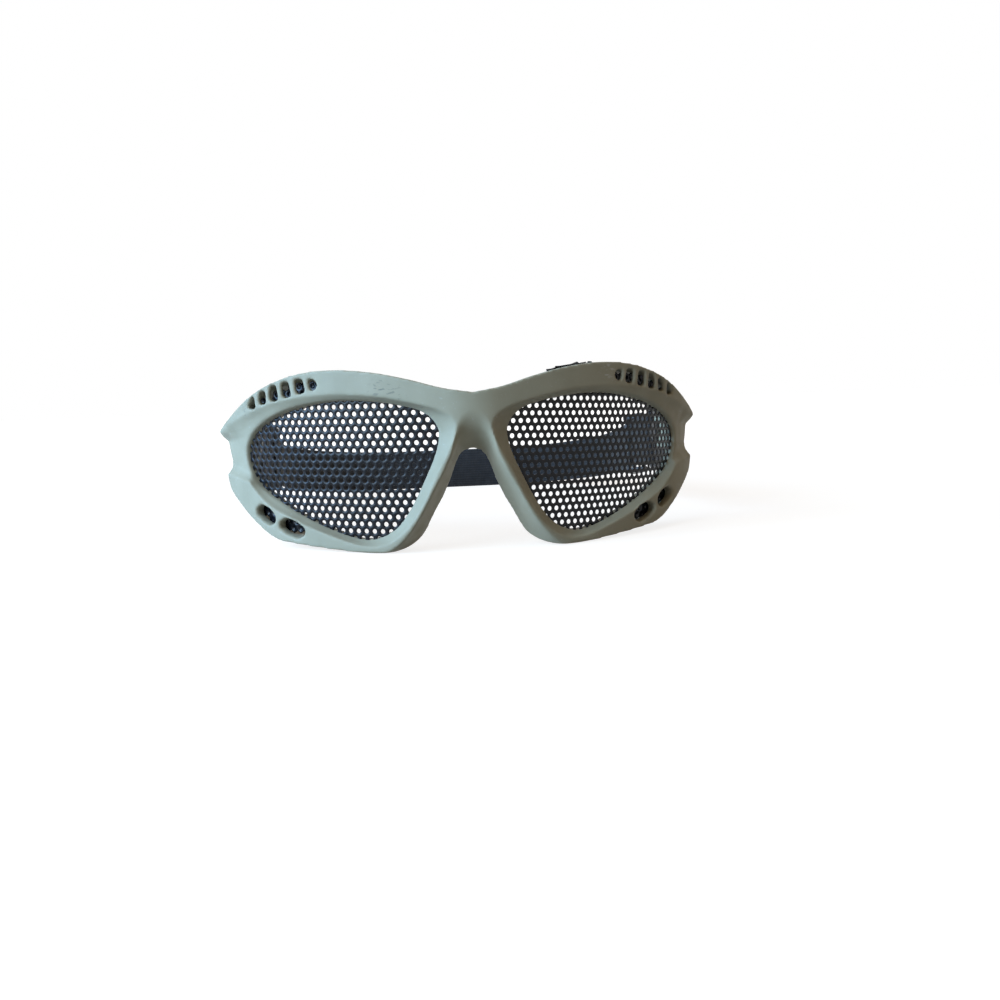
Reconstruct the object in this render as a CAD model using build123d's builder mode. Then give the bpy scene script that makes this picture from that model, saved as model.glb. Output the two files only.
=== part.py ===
# Mesh safety goggles: a one-piece soft frame with two perforated steel lenses, and an elastic
# head strap on two pivoting side clips, with a slider on each side to set its length.
# Millimetres, +Z up, the goggles look along -Y, the wearer's left is +X.
# The goggles lie on their lower rims and on the rear edge of the strap.
import os
from math import asin, atan2, cos, degrees, hypot, radians, sin, tan

from build123d import *

os.makedirs("parts", exist_ok=True)

# Frame, seen from the front
frame_width = 175.0
frame_height = 59.1
wing_tip_radius = 2.2

# Frame, seen from above: tangent arcs for the nose bridge, the lenses and the temples
bridge_radius = 30.0
bridge_angle = 15.0
lens_radius = 160.0
lens_angle = 38.0
temple_radius = 90.0
temple_angle = 61.5
bridge_depth = 12.0
skirt_depth = 13.0
temple_depth = 7.0

# Frame walls
plate_depth = 3.6
lip_width = 3.2
lip_depth = 1.8
bevel_depth = 3.0
bevel_overrun = 0.25
recess_depth = 2.6
nose_wall_slope = 38.0

# Vents
brow_vent_width = 2.3
brow_vent_length = 4.7
brow_vent_corner = 0.6
low_vent_width = 4.2
low_vent_length = 9.4

# Lenses: perforated sheet held in a groove round each window
sheet_thickness = 0.5
sheet_edge = 2.2
groove_clearance = 0.12
hole_pitch = 3.1
hole_diameter = 2.1

# Strap pivot: a lug at each temple, a headed stud through it and a cap outside
lug_thickness = 3.0
lug_radius = 6.2
lug_outer_x = 79.5
pivot_setback = 11.0
pivot_height = 32.8
stud_radius = 2.0
stud_head_radius = 3.8
stud_head_thickness = 1.2
cap_radius = 4.4
cap_thickness = 1.9
cap_bore_depth = 1.1
cap_edge_round = 0.72
press_clearance = 0.02
pivot_clearance = 0.06
side_clearance = 0.25

# Strap clips
clip_thickness = 2.0
clip_eye_radius = 6.6
clip_shoulder = 13.0
clip_slot_length = 4.8
clip_bar_width = 3.2
clip_bar_round = 0.8
clip_rail_width = 2.6
clip_corner_radius = 1.6

# Strap
strap_width = 20.0
strap_thickness = 1.2
strap_gap = 0.3
strap_reach = 139.0
strap_corner_radius = 60.0

# Sliders
slider_position = 47.0
slider_bar_pitch = 5.5
slider_bar_radius = 0.95
slider_rail_round = 1.6
slider_rail_width = 2.4
tail_seam = 9.0
slot_clearance = 0.6

# Every cut runs this far past the faces that it opens
overrun = 2.0
# A moved edge is drawn through this many points
edge_stations = 36

half_width = frame_width / 2

# Outlines as shares of the half width (across) and of the frame height (up)
brow_shares = [
    (0.0, 0.857), (0.11, 0.885), (0.23, 0.935), (0.366, 0.980), (0.514, 1.0),
    (0.651, 0.983), (0.777, 0.926), (0.885, 0.838), (0.962, 0.742),
]
wing_tip_share = (1.0, 0.668)
recess_top_share = (0.958, 0.624)
recess_bottom_share = (0.932, 0.467)
low_wing_shares = [
    (0.932, 0.467), (0.969, 0.405), (0.946, 0.322), (0.874, 0.196), (0.79, 0.085), (0.709, 0.040),
]
rim_shares = [(0.709, 0.040), (0.55, 0.020), (0.40, 0.0)]
rim_corner_shares = [(0.40, 0.0), (0.328, 0.010), (0.278, 0.050)]
nose_front_shares = [
    (0.0, 0.690), (0.052, 0.655), (0.080, 0.545), (0.120, 0.43), (0.180, 0.245), (0.232, 0.125),
    (0.278, 0.050),
]
pocket_shares = [
    (0.094, 0.72), (0.106, 0.81), (0.16, 0.872), (0.26, 0.915), (0.38, 0.944), (0.51, 0.958),
    (0.645, 0.942), (0.77, 0.885), (0.89, 0.77), (0.95, 0.56), (0.91, 0.32), (0.80, 0.155),
    (0.70, 0.092), (0.55, 0.064), (0.40, 0.046), (0.315, 0.085), (0.245, 0.19), (0.165, 0.405),
    (0.11, 0.58),
]
window_shares = [
    (0.125, 0.634), (0.165, 0.742), (0.255, 0.794), (0.38, 0.822), (0.51, 0.825), (0.67, 0.782),
    (0.80, 0.690), (0.864, 0.565), (0.836, 0.388), (0.725, 0.253), (0.585, 0.147), (0.45, 0.077),
    (0.37, 0.072), (0.28, 0.150), (0.19, 0.37),
]
# The crease in front of the bevel, point for point with the window
crease_shares = [
    (0.066, 0.690), (0.125, 0.768), (0.255, 0.820), (0.39, 0.856), (0.51, 0.864), (0.69, 0.834),
    (0.868, 0.735), (0.896, 0.560), (0.858, 0.355), (0.745, 0.214), (0.60, 0.126), (0.47, 0.060),
    (0.355, 0.042), (0.243, 0.156), (0.137, 0.435),
]
recess_shares = [
    (0.862, 0.700), (0.872, 0.600), (0.866, 0.500), (0.845, 0.395), (0.952, 0.462), (1.06, 0.44),
    (1.06, 0.66), (0.958, 0.66),
]

# Vents: centre shares, length shares, and the lean of each from upright or from level
brow_vent_shares = [
    (0.576, 0.931), (0.628, 0.917), (0.682, 0.904), (0.736, 0.889), (0.786, 0.864), (0.832, 0.836),
]
brow_vent_length_shares = [0.78, 0.93, 1.0, 1.0, 0.88, 0.68]
brow_vent_leans = [-10.0, -8.0, -6.0, -2.0, 2.0, 6.0]
low_vent_shares = [(0.693, 0.122), (0.802, 0.193)]
low_vent_length_shares = [1.0, 0.84]
low_vent_leans = [25.0, 33.0]


def on_frame(share):
    """A front-view point, from its shares of the half width and the height."""
    return (share[0] * half_width, share[1] * frame_height)


def on_frame_all(shares):
    return [on_frame(share) for share in shares]


# Plan view: the joints of the tangent arcs, measured back from the front of the bridge
lens_start_x = bridge_radius * sin(radians(bridge_angle))
lens_start_y = bridge_radius * (1 - cos(radians(bridge_angle)))
lens_centre_x = lens_start_x - lens_radius * sin(radians(bridge_angle))
lens_centre_y = lens_start_y + lens_radius * cos(radians(bridge_angle))
temple_start_x = lens_centre_x + lens_radius * sin(radians(lens_angle))
temple_start_y = lens_centre_y - lens_radius * cos(radians(lens_angle))
temple_centre_x = temple_start_x - temple_radius * sin(radians(lens_angle))
temple_centre_y = temple_start_y + temple_radius * cos(radians(lens_angle))
tip_x = temple_centre_x + temple_radius * sin(radians(temple_angle))
tip_y = temple_centre_y - temple_radius * cos(radians(temple_angle))

# The pivot stands behind the wing tips, and the strap slopes down from it to the floor
pivot_back = tip_y + pivot_setback
strap_drop = atan2(strap_width / 2, strap_reach)
strap_slope = asin(pivot_height / hypot(strap_reach, strap_width / 2)) - strap_drop
total_depth = pivot_back + strap_reach * cos(strap_slope) + strap_width / 2 * sin(strap_slope)
front_y = -total_depth / 2
pivot_y = front_y + pivot_back

strap_along = (0, cos(strap_slope), -sin(strap_slope))
strap_up = (0, sin(strap_slope), cos(strap_slope))
strap_plane = Plane(origin=(0, pivot_y, pivot_height), x_dir=(1, 0, 0), z_dir=strap_up)
view_plane = Plane(origin=(0, pivot_y, 0), x_dir=(1, 0, 0), z_dir=(0, -1, 0))
view_reach = pivot_back + overrun


def side_plane(across):
    """The plane of the strap's side view: along the strap, and up, at one distance across."""
    return Plane(origin=(across, pivot_y, pivot_height), x_dir=strap_along, z_dir=(1, 0, 0))


def front_arcs(depth):
    """The left half of the front surface seen from above, this deep behind it, in the open builder."""
    first = CenterArc((0, front_y + bridge_radius), bridge_radius - depth, -90, bridge_angle)
    CenterArc(
        (lens_centre_x, front_y + lens_centre_y), lens_radius - depth,
        bridge_angle - 90, lens_angle - bridge_angle,
    )
    last = CenterArc(
        (temple_centre_x, front_y + temple_centre_y), temple_radius - depth,
        lens_angle - 90, temple_angle - lens_angle,
    )
    return first @ 0, last @ 1


def wrap_face(near, far):
    """The plan-view face between two depths behind the front surface."""
    with BuildSketch() as face:
        with BuildLine():
            near_start, near_end = front_arcs(near)
            far_start, far_end = front_arcs(far)
            Line(near_start, far_start)
            Line(near_end, far_end)
        make_face()
        mirror(about=Plane.YZ)
    return face.sketch


def skirt_plan():
    """The plan-view face of the whole frame, from its front surface to the wearer's face."""
    radial = radians(temple_angle)
    lens_back = (
        lens_centre_x + (lens_radius - skirt_depth) * sin(radians(lens_angle)),
        front_y + lens_centre_y - (lens_radius - skirt_depth) * cos(radians(lens_angle)),
    )
    tip_back = (tip_x - temple_depth * sin(radial), front_y + tip_y + temple_depth * cos(radial))
    with BuildSketch() as face:
        with BuildLine():
            start, end = front_arcs(0)
            bridge_back = (0, front_y + bridge_depth)
            Spline(
                bridge_back, lens_back, tip_back,
                tangents=[(1, 0), (cos(radial), sin(radial))],
            )
            Line(start, bridge_back)
            Line(end, tip_back)
        make_face()
        mirror(about=Plane.YZ)
    return face.sketch


def through_wrap(front_face, plan_face):
    """What a front-view face and a plan-view face have in common, as a solid."""
    with BuildPart() as piece:
        with BuildSketch(view_plane):
            add(front_face)
        extrude(amount=view_reach)
        with BuildSketch(Plane.XY.offset(-overrun)):
            add(plan_face)
        extrude(amount=frame_height + 2 * overrun, mode=Mode.INTERSECT)
    return piece.part


def frame_part(front_face, near, far):
    """What lies behind a front-view face between two depths behind the front surface."""
    return through_wrap(front_face, wrap_face(near, far))


def frame_outline():
    """The frame from the front, without its nose opening."""
    tip = on_frame(wing_tip_share)
    recess_top = on_frame(recess_top_share)
    recess_bottom = on_frame(recess_bottom_share)
    with BuildSketch() as face:
        with BuildLine():
            brow = Spline(*on_frame_all(brow_shares), tip, tangents=[(1, 0), (0, -1)])
            ThreePointArc(
                brow @ 1, (tip[0] - wing_tip_radius / 2, tip[1] - wing_tip_radius), recess_top,
            )
            Line(recess_top, recess_bottom)
            low_wing = Spline(*on_frame_all(low_wing_shares))
            rim = Spline(*on_frame_all(rim_shares), tangents=[low_wing % 1, (-1, 0)])
            rim_end = on_frame(rim_corner_shares[-1])
            Spline(*on_frame_all(rim_corner_shares), tangents=[rim % 1, (-1, 1)])
            Line(rim_end, (0, rim_end[1]))
            Line((0, rim_end[1]), brow @ 0)
        make_face()
        mirror(about=Plane.YZ)
    return face.sketch


def window_outline(growth):
    """The left window from the front, its edge moved outwards by a growth."""
    edge = Spline(*on_frame_all(window_shares), periodic=True)
    stations = [step / edge_stations for step in range(edge_stations)]
    points = [edge @ at + Vector(-(edge % at).Y, (edge % at).X) * growth for at in stations]
    with BuildSketch() as face:
        with BuildLine():
            Spline(*points, periodic=True)
        make_face()
    return face.sketch


def nose_outline(depth):
    """The nose opening from the front, this deep behind the bridge: its walls slope down to the face."""
    drop = depth * tan(radians(nose_wall_slope))
    points = [(x, z - drop) for x, z in on_frame_all(nose_front_shares)]
    with BuildSketch() as face:
        with BuildLine():
            side = Spline(*points)
            below = (points[-1][0], points[-1][1] - 2 * overrun)
            Line(side @ 1, below)
            Line(below, (0, below[1]))
            Line((0, below[1]), side @ 0)
        make_face()
        mirror(about=Plane.YZ)
    return face.sketch


def eye_pocket():
    """The hollow behind the front plate on the left, from the front."""
    with BuildSketch() as face:
        with BuildLine():
            Spline(*on_frame_all(pocket_shares), periodic=True)
        make_face()
        with Locations((0, -overrun)):
            Rectangle(
                lug_outer_x - lug_thickness, frame_height + 2 * overrun,
                align=(Align.MIN, Align.MIN), mode=Mode.INTERSECT,
            )
    return face.sketch


def on_wrap(across, up, depth):
    """A point of the left half, from its place in the front view and its depth behind the surface."""
    arcs = (
        (temple_centre_x, temple_centre_y, temple_radius, lens_angle),
        (lens_centre_x, lens_centre_y, lens_radius, bridge_angle),
        (0.0, bridge_radius, bridge_radius, 0.0),
    )
    for centre_x, centre_y, radius, start_angle in arcs:
        turn = asin((across - centre_x) / (radius - depth))
        if degrees(turn) >= start_angle:
            break
    return Vector(across, front_y + centre_y - (radius - depth) * cos(turn), up)


def window_bevel():
    """What the bevel takes away round the left window, from in front of the crease to behind the edge."""
    slope = []
    for share in (-bevel_overrun, 1 + bevel_overrun):
        line = []
        for crease, edge in zip(on_frame_all(crease_shares), on_frame_all(window_shares)):
            across = crease[0] + (edge[0] - crease[0]) * share
            up = crease[1] + (edge[1] - crease[1]) * share
            line.append(on_wrap(across, up, bevel_depth * share))
        slope.append(line)
    ahead = [(point.X, front_y - overrun, point.Z) for point in slope[0]]
    behind = [(point.X, front_y + view_reach, point.Z) for point in slope[1]]
    with BuildPart() as cutter:
        lines = [Wire([Edge.make_spline(points, periodic=True)]) for points in (ahead, *slope, behind)]
        add(Solid.make_loft(lines, ruled=True))
    return cutter.part


def brow_vents():
    with BuildSketch() as face:
        for centre, length_share, lean in zip(brow_vent_shares, brow_vent_length_shares, brow_vent_leans):
            with Locations(Location((*on_frame(centre), 0), (0, 0, lean))):
                RectangleRounded(brow_vent_width, brow_vent_length * length_share, brow_vent_corner)
    return face.sketch


def low_vents():
    with BuildSketch() as face:
        for centre, length_share, lean in zip(low_vent_shares, low_vent_length_shares, low_vent_leans):
            with Locations(Location((*on_frame(centre), 0), (0, 0, lean))):
                SlotOverall(low_vent_length * length_share, low_vent_width)
    return face.sketch


def recess_outline():
    """The pocket between the upper and the lower wing on the left, from the front."""
    with BuildSketch() as face:
        with BuildLine():
            Polyline(*on_frame_all(recess_shares), close=True)
        make_face()
    return face.sketch


def nose_opening():
    """The nose opening, high in front and low at the wearer's face."""
    with BuildPart() as opening:
        for depth in (-overrun, 2 * skirt_depth):
            with BuildSketch(Plane.XZ.offset(-front_y - depth)):
                add(nose_outline(depth))
        loft(ruled=True)
    return opening.part


def both_sides(piece):
    with BuildPart() as pair:
        add(piece)
        mirror(piece, about=Plane.YZ)
    return pair.part


# The sheet lies at this depth behind the front surface, with the groove clearance on both faces
sheet_depth = plate_depth + groove_clearance
groove_depth = plate_depth + sheet_thickness + 2 * groove_clearance
lip_end = groove_depth + lip_depth
groove_face = window_outline(sheet_edge + groove_clearance)

# Frame: soft rubber, with the plate, skirt, window lips, vents, side recesses and strap lugs
lug_plane = Plane(
    origin=(lug_outer_x, pivot_y, pivot_height), x_dir=(0, 1, 0), z_dir=(1, 0, 0),
)
with BuildPart() as left_lug:
    with BuildSketch(lug_plane):
        Circle(lug_radius)
        Rectangle(pivot_setback + 2 * temple_depth, 2 * lug_radius, align=(Align.MAX, Align.CENTER))
    extrude(amount=-lug_thickness)

with BuildPart() as frame:
    add(through_wrap(frame_outline(), skirt_plan()))
    add(both_sides(left_lug.part))
    add(both_sides(frame_part(eye_pocket(), plate_depth, 2 * skirt_depth)), mode=Mode.SUBTRACT)
    add(both_sides(frame_part(window_outline(lip_width), plate_depth, lip_end)))
    add(both_sides(frame_part(window_outline(0), -overrun, lip_end + overrun)), mode=Mode.SUBTRACT)
    add(both_sides(frame_part(groove_face, plate_depth, groove_depth)), mode=Mode.SUBTRACT)
    add(nose_opening(), mode=Mode.SUBTRACT)
    add(both_sides(frame_part(recess_outline(), -overrun, recess_depth)), mode=Mode.SUBTRACT)
    add(both_sides(window_bevel()), mode=Mode.SUBTRACT)
    add(both_sides(frame_part(brow_vents(), -overrun, plate_depth + overrun)), mode=Mode.SUBTRACT)
    add(both_sides(frame_part(low_vents(), -overrun, plate_depth + overrun)), mode=Mode.SUBTRACT)
    for across in (lug_outer_x, -lug_outer_x):
        with Locations(Plane(origin=(across, pivot_y, pivot_height), z_dir=(across, 0, 0))):
            Hole(stud_radius + press_clearance, depth=lug_thickness + overrun)
frame.part.label = "frame"


def sheet_point(distance):
    """Across position and wall angle of the lens sheet, this far round it from the centre line."""
    bridge_run = radians(bridge_angle) * (bridge_radius - sheet_depth)
    lens_run = radians(lens_angle - bridge_angle) * (lens_radius - sheet_depth)
    if distance < bridge_run + lens_run:
        turn = radians(bridge_angle) + (distance - bridge_run) / (lens_radius - sheet_depth)
        return lens_centre_x + (lens_radius - sheet_depth) * sin(turn), turn
    turn = radians(lens_angle) + (distance - bridge_run - lens_run) / (temple_radius - sheet_depth)
    return temple_centre_x + (temple_radius - sheet_depth) * sin(turn), turn


def lens_holes():
    """The staggered round holes of the left lens from the front, narrowed where the sheet turns away."""
    holed_region = window_outline(-hole_diameter / 2).face()
    row_pitch = hole_pitch * sin(radians(60))
    rows = int(frame_height / row_pitch)
    columns = int(frame_width / hole_pitch)
    with BuildSketch() as holes:
        for row in range(1, rows):
            for column in range(columns):
                across, turn = sheet_point((column + row % 2 / 2) * hole_pitch)
                centre = Vector(across, row * row_pitch)
                if holed_region.is_inside(centre):
                    with Locations(centre):
                        Ellipse(hole_diameter / 2 * cos(turn), hole_diameter / 2)
    return holes.sketch


# Lens: perforated steel sheet, bent to the frame and held by its edge in the groove
lens_hole_faces = lens_holes()
with BuildSketch() as lens_blank:
    add(window_outline(sheet_edge))
    add(lens_hole_faces, mode=Mode.SUBTRACT)
with BuildPart() as lens:
    add(frame_part(lens_blank.sketch, sheet_depth, sheet_depth + sheet_thickness))
print("holes in each lens", len(lens_hole_faces.faces()))

# Positions across the left pivot, from the lug outwards
lug_inner_x = lug_outer_x - lug_thickness
clip_inner_x = lug_outer_x + side_clearance
clip_middle_x = clip_inner_x + clip_thickness / 2
clip_outer_x = clip_inner_x + clip_thickness
cap_inner_x = clip_outer_x + side_clearance

# Stud: pressed through the lug from the inside, its end in the cap
with BuildPart() as stud:
    with BuildSketch(side_plane(lug_inner_x)):
        Circle(stud_head_radius)
    extrude(amount=-stud_head_thickness)
    fillet(stud.edges().group_by(Axis.X)[0], stud_head_thickness / 2)
    with BuildSketch(side_plane(lug_inner_x)):
        Circle(stud_radius)
    extrude(amount=cap_inner_x + cap_bore_depth - side_clearance - lug_inner_x)

# Cap: snapped on the end of the stud, outside the clip
with BuildPart() as cap:
    with BuildSketch(side_plane(cap_inner_x)):
        Circle(cap_radius)
    extrude(amount=cap_thickness)
    fillet(cap.edges().group_by(Axis.X)[-1], cap_edge_round)
    with BuildSketch(side_plane(cap_inner_x)):
        Circle(stud_radius + press_clearance)
    extrude(amount=cap_bore_depth, mode=Mode.SUBTRACT)

# Clip: an eye on the stud, then a loop whose rear bar carries the strap
strap_window = strap_width + 2 * slot_clearance
clip_width = strap_window + 2 * clip_rail_width
slot_start = clip_shoulder + clip_rail_width
slot_end = slot_start + clip_slot_length
clip_end = slot_end + clip_bar_width
with BuildPart() as clip:
    with BuildSketch(side_plane(clip_inner_x)):
        Circle(clip_eye_radius)
        with Locations((clip_shoulder + clip_corner_radius, 0)):
            SlotCenterToCenter(clip_width - 2 * clip_corner_radius, 2 * clip_corner_radius, rotation=90)
        make_hull()
        with Locations((clip_shoulder + clip_corner_radius, 0)):
            Rectangle(
                clip_end - clip_shoulder - clip_corner_radius, clip_width,
                align=(Align.MIN, Align.CENTER),
            )
        with Locations((slot_start, 0)):
            Rectangle(clip_end, strap_window, align=(Align.MIN, Align.CENTER), mode=Mode.SUBTRACT)
    extrude(amount=clip_thickness)
    with BuildSketch(strap_plane):
        with Locations((clip_middle_x, slot_end + clip_bar_width / 2)):
            RectangleRounded(clip_thickness, clip_bar_width, clip_bar_round)
    extrude(amount=strap_window / 2 + clip_rail_width / 2, both=True)
    with BuildSketch(side_plane(clip_inner_x)):
        Circle(stud_radius + pivot_clearance)
    extrude(amount=clip_thickness, mode=Mode.SUBTRACT)

# Strap: an elastic band round the head, through both clips and back on itself
turn_inner = clip_thickness / 2 + strap_gap
turn_outer = turn_inner + strap_thickness
turn_back = slot_end + clip_thickness / 2
leg_outer_x = clip_middle_x - turn_inner
leg_inner_x = leg_outer_x - strap_thickness
leg_end = strap_reach - strap_corner_radius


def band_edge(turn, leg_x, corner, reach):
    """One edge of the left half of the band from above: turn at the clip, leg, corner, rear."""
    start = (clip_middle_x + turn, turn_back)
    ThreePointArc(start, (clip_middle_x, turn_back - turn), (leg_x, turn_back))
    Line((leg_x, turn_back), (leg_x, leg_end))
    corner_arc = CenterArc((leg_x - corner, leg_end), corner, 0, 90)
    Line(corner_arc @ 1, (0, reach))
    return start, (0, reach)


with BuildPart() as strap_band:
    with BuildSketch(strap_plane):
        with BuildLine():
            outer_start, outer_rear = band_edge(
                turn_inner, leg_outer_x, strap_corner_radius, strap_reach,
            )
            inner_start, inner_rear = band_edge(
                turn_outer, leg_inner_x, strap_corner_radius - strap_thickness, strap_reach - strap_thickness,
            )
            Line(outer_start, inner_start)
            Line(outer_rear, inner_rear)
        make_face()
        mirror(about=Plane.YZ)
    extrude(amount=strap_width / 2, both=True)
strap_band.part.label = "strap_band"

# Strap tail: from the turn at the clip back to the front bar of the slider, folded and sewn
tail_inner_x = clip_middle_x + turn_inner
loop_inner_radius = slider_bar_radius + strap_gap / 2
loop_outer_radius = loop_inner_radius + strap_thickness
front_bar_x = leg_outer_x + strap_gap + loop_outer_radius
front_bar_along = slider_position - slider_bar_pitch
seam_start = front_bar_along - loop_inner_radius - tail_seam
with BuildPart() as strap_tail:
    with BuildSketch(strap_plane):
        with Locations((tail_inner_x, turn_back)):
            Rectangle(strap_thickness, front_bar_along - turn_back, align=(Align.MIN, Align.MIN))
        with Locations((tail_inner_x - strap_thickness, seam_start)):
            Rectangle(strap_thickness, front_bar_along - seam_start, align=(Align.MIN, Align.MIN))
        with Locations((front_bar_x, front_bar_along)):
            Circle(loop_outer_radius)
            Circle(loop_inner_radius, mode=Mode.SUBTRACT)
    extrude(amount=strap_width / 2, both=True)

# Slider: two arched side rails, two bars outside the running strap and one inside it
centre_bar_x = leg_inner_x - strap_gap - slider_bar_radius
rear_bar_x = leg_outer_x + strap_gap + slider_bar_radius
slider_bars = [
    (front_bar_x, front_bar_along),
    (centre_bar_x, slider_position),
    (rear_bar_x, slider_position + slider_bar_pitch),
]
with BuildPart() as slider:
    with BuildSketch(strap_plane):
        with Locations(*slider_bars):
            Circle(slider_bar_radius)
    extrude(amount=strap_window / 2 + slider_rail_width / 2, both=True)
    for side in (1, -1):
        with BuildSketch(strap_plane.offset(side * strap_window / 2)):
            with Locations(*slider_bars):
                Circle(slider_rail_round)
            make_hull()
        extrude(amount=side * slider_rail_width)

left_pieces = {
    "lens": lens.part,
    "stud": stud.part,
    "stud_cap": cap.part,
    "strap_clip": clip.part,
    "strap_tail": strap_tail.part,
    "strap_slider": slider.part,
}
for name, piece in left_pieces.items():
    with BuildPart() as right_piece:
        mirror(piece, about=Plane.YZ)
    piece.label = "left_" + name
    right_piece.part.label = "right_" + name
    export_step(piece, "parts/left_" + name + ".step")
    export_step(right_piece.part, "parts/right_" + name + ".step")

export_step(frame.part, "parts/frame.step")
export_step(strap_band.part, "parts/strap_band.step")
print("pivot at", 0, round(pivot_y, 3), pivot_height, "strap slope", round(degrees(strap_slope), 3))
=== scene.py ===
# Mesh safety goggles: a soft one-piece frame, two perforated steel lenses and an elastic head strap.
# Metres, +Z up, the goggles look along -Y, the wearer's left is +X.
import bmesh
import bpy
from math import asin, atan2, cos, pi, radians, sin
from mathutils import Matrix, Vector
from mathutils.geometry import convex_hull_2d, interpolate_bezier


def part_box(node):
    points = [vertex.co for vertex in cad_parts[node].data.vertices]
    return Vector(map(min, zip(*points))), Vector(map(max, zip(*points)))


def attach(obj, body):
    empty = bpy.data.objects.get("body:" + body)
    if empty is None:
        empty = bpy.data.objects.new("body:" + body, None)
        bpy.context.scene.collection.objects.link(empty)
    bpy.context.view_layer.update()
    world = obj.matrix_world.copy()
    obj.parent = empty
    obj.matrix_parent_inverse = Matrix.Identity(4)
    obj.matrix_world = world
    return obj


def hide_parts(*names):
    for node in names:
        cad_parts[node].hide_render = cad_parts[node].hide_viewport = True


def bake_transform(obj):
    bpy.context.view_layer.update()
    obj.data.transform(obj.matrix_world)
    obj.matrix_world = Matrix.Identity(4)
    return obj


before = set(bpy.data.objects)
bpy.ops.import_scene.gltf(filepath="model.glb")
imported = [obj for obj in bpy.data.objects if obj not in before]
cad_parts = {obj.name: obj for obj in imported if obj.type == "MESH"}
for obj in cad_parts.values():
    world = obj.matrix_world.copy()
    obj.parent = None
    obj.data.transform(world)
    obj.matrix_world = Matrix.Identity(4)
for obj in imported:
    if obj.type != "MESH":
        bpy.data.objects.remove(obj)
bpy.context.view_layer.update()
mm = 0.001
sides = (("left", 1), ("right", -1))


# Camera: in front of the goggles and a little above them, turned a few degrees to the wearer's
# left. Its distance and field of view give the wrap of the frame the depth it has in the photograph.
def placed(name, data):
    """A new object of this data, at the origin."""
    piece = bpy.data.objects.new(name, data)
    bpy.context.collection.objects.link(piece)
    return piece


camera_data = bpy.data.cameras.new("camera")
camera_data.lens = 32.1
camera_data.sensor_width = 36.0
camera_data.clip_start = 0.01
camera = placed("camera", camera_data)
camera.location = (-0.02055, -0.37837, 0.05073)
camera.rotation_euler = (radians(82.996), radians(1.946), radians(-6.0))
bpy.context.scene.camera = camera
bpy.context.scene.view_settings.view_transform = "Standard"


# Light: a cool window and the sky on the left of the camera, and the weaker, warmer light of the room
# from the right and from above. Each is a wide, soft lamp.
def soft_light(name, place, aim, width, height, power, colour):
    data = bpy.data.lights.new(name, "AREA")
    data.shape = "RECTANGLE"
    data.size = width
    data.size_y = height
    data.energy = power
    data.color = colour
    light = placed(name, data)
    light.location = place
    light.rotation_euler = (Vector(aim) - Vector(place)).to_track_quat("-Z", "Y").to_euler()


goggles_middle = (0, -0.07, 0.03)
soft_light("window_light", (-0.80, -0.50, 0.42), goggles_middle, 0.7, 0.8, 19.0, (0.53, 0.75, 1.0))
soft_light("sky_light", (-0.95, -0.12, 0.35), goggles_middle, 0.6, 0.6, 9.0, (0.22, 0.52, 1.0))
soft_light("room_light", (0.6, -0.8, 0.5), goggles_middle, 0.8, 0.8, 0.9, (1.0, 0.70, 0.42))
soft_light("ceiling_light", (0.1, -0.1, 1.5), (0, 0, 0), 1.4, 1.4, 4.4, (1.0, 0.80, 0.53))

# Paper: a white sheet under the goggles, in a white room. The camera sees both white, also in glossy
# surfaces and through clear ones, and the other rays meet the darker paper and the dim, warm room.
paper_half = 3.0
shadow_reach = 0.2
white_reach = 0.6
glow_in_shadow = 0.80


def new_object(name, shape):
    """A new object of this shape, at the origin."""
    mesh = bpy.data.meshes.new(name)
    shape.to_mesh(mesh)
    shape.free()
    return placed(name, mesh)


def new_material(name, colour, roughness):
    """A new material with its tree, its shader and its object coordinates."""
    material = bpy.data.materials.new(name)
    material.use_nodes = True
    tree = material.node_tree
    shader = tree.nodes["Principled BSDF"]
    shader.inputs["Base Color"].default_value = (*colour, 1)
    shader.inputs["Roughness"].default_value = roughness
    place = tree.nodes.new("ShaderNodeTexCoord").outputs["Object"]
    return material, tree, shader, place


def node(tree, kind, inputs, **settings):
    """A new node; each of its inputs takes a value or the output of another node."""
    made = tree.nodes.new("ShaderNode" + kind)
    for name, setting in settings.items():
        setattr(made, name, setting)
    for name, value in inputs.items():
        if isinstance(value, bpy.types.NodeSocket):
            tree.links.new(value, made.inputs[name])
        else:
            made.inputs[name].default_value = value
    return made


def spread(tree, value, low, high, out_low=0.0, out_high=1.0):
    """Stretches the part of a value between low and high over the new range."""
    ends = {"From Min": low, "From Max": high, "To Min": out_low, "To Max": out_high}
    return node(tree, "MapRange", {"Value": value, **ends}).outputs[0]


def combined(tree, operation, first, second):
    """The product, the sum or the larger of two values."""
    return node(tree, "Math", {0: first, 1: second}, operation=operation).outputs[0]


def seen_white(tree, plain, white, output):
    """Gives the rays that the camera sees the white shader, and the others the plain one."""
    ray = node(tree, "LightPath", {}).outputs
    seen = combined(tree, "MAXIMUM", ray["Is Camera Ray"], ray["Is Glossy Ray"])
    seen = combined(tree, "MAXIMUM", seen, ray["Is Transmission Ray"])
    either = node(tree, "MixShader", {"Fac": seen, 1: plain.outputs[0], 2: white.outputs[0]})
    tree.links.new(either.outputs[0], tree.nodes[output].inputs["Surface"])


room = bpy.data.worlds.new("room")
room.use_nodes = True
bpy.context.scene.world = room
dim_room = room.node_tree.nodes["Background"]
dim_room.inputs["Color"].default_value = (0.95, 0.82, 0.66, 1)
dim_room.inputs["Strength"].default_value = 0.05
white_room = node(room.node_tree, "Background", {"Color": (1, 1, 1, 1)})
seen_white(room.node_tree, dim_room, white_room, "World Output")

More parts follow.
